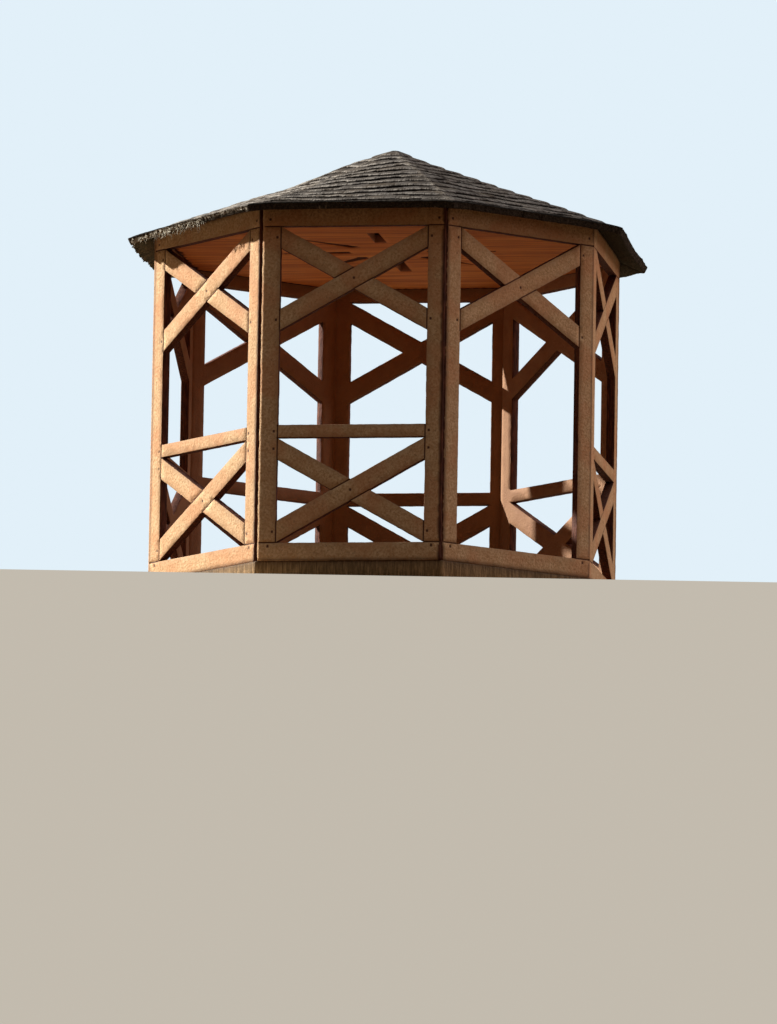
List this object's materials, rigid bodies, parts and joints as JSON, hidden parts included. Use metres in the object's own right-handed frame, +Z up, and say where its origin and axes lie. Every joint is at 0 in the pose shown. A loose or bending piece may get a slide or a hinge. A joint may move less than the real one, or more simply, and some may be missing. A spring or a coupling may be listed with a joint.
{
  "type": "scale model of an eight-sided garden pavilion",
  "caption": "Small eight-sided open garden pavilion model: lattice wall panels with crossed braces and hand rails, an open entrance side, a flat ceiling and a low pointed shingled roof.",
  "frame": {"origin": "on the ground under the middle of the floor plate", "axes": "+Z up; the open entrance side faces -Y; +X to the right as seen from in front of the entrance"},
  "size_m": [0.057, 0.057, 0.0541],
  "materials": {
    "wall_board": "matt stained fibreboard with burnt joint lines",
    "floor_board": "matt stained fibreboard",
    "ceiling_board": "matt stained board with fine parallel grain",
    "roof_card": "matt dark card, engraved with shingle courses"
  },
  "bodies": {
    "root": {"floor_plate": "floor_board", "ceiling_plate": "ceiling_board", "entrance_panel": "wall_board", "front_right_panel": "wall_board", "right_panel": "wall_board", "back_right_panel": "wall_board", "back_panel": "wall_board", "back_left_panel": "wall_board", "left_panel": "wall_board", "front_left_panel": "wall_board", "entrance_roof_facet": "roof_card", "front_right_roof_facet": "roof_card", "right_roof_facet": "roof_card", "back_right_roof_facet": "roof_card", "back_roof_facet": "roof_card", "back_left_roof_facet": "roof_card", "left_roof_facet": "roof_card", "front_left_roof_facet": "roof_card"}
  },
  "joints": []
}
